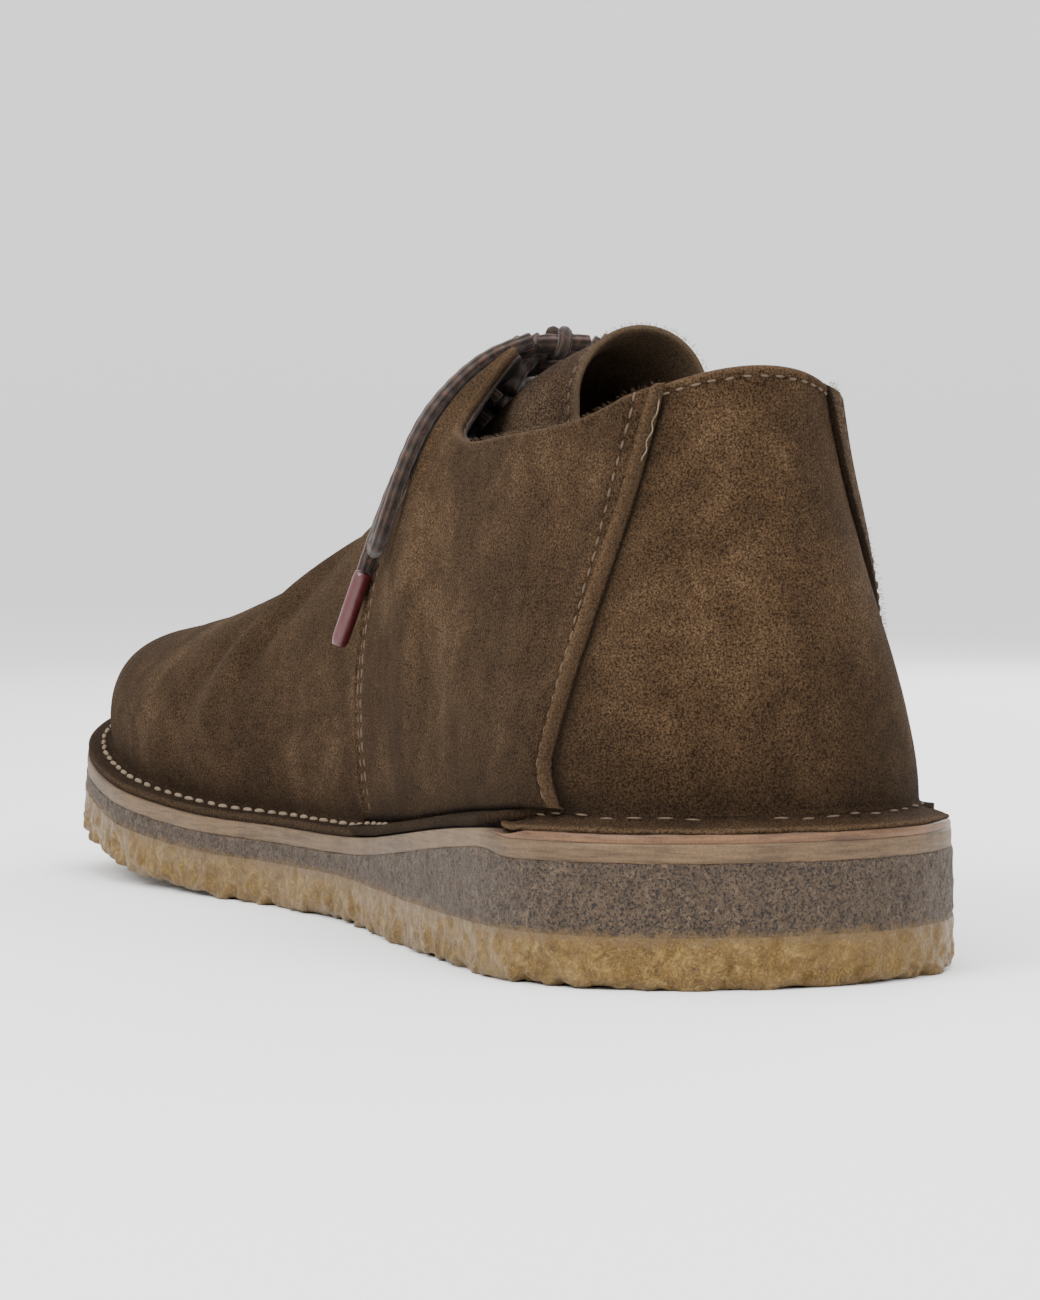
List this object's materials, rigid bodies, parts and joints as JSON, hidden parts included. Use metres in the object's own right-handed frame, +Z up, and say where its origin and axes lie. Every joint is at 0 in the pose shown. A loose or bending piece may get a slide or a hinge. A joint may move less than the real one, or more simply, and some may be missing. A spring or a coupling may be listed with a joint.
{
  "type": "derby shoe",
  "caption": "Low suede derby shoe for the right foot: hollow upper open at the collar, tongue, round lace tied in a bow, and a thick crepe rubber wedge sole.",
  "frame": {"origin": "centre of the sole's box in plan, on the floor under the tread", "axes": "+X forward from the heel to the toe, +Y to the inner (medial) side of the right foot, +Z up from the floor"},
  "size_m": [0.2996, 0.1076, 0.107],
  "materials": {
    "natural_crepe": "natural crepe rubber, amber yellow, lumpy edge and rippled tread",
    "smoked_crepe": "smoked crepe rubber, grey brown, pitted edge",
    "midsole_leather": "natural taupe leather, cut edge",
    "rand_leather": "reddish tan leather rand",
    "insole_leather": "dark brown leather",
    "brown_suede": "mid brown suede with a soft nap",
    "lace": "round braided brown lace",
    "lace_tip": "dark red lace tip"
  },
  "bodies": {
    "root": {"crepe_outsole": "natural_crepe", "crepe_wedge": "smoked_crepe", "midsole": "midsole_leather", "heel_rand": "rand_leather", "insole": "insole_leather", "upper": "brown_suede", "tongue": "brown_suede", "lace_bar": "lace", "lace_cross_low": "lace", "lace_cross_high": "lace", "lace_knot": "lace", "lace_loop_inner": "lace", "lace_loop_outer": "lace", "lace_end_inner": "lace", "lace_end_outer": "lace", "aglet_inner": "lace_tip", "aglet_outer": "lace_tip"}
  },
  "joints": []
}
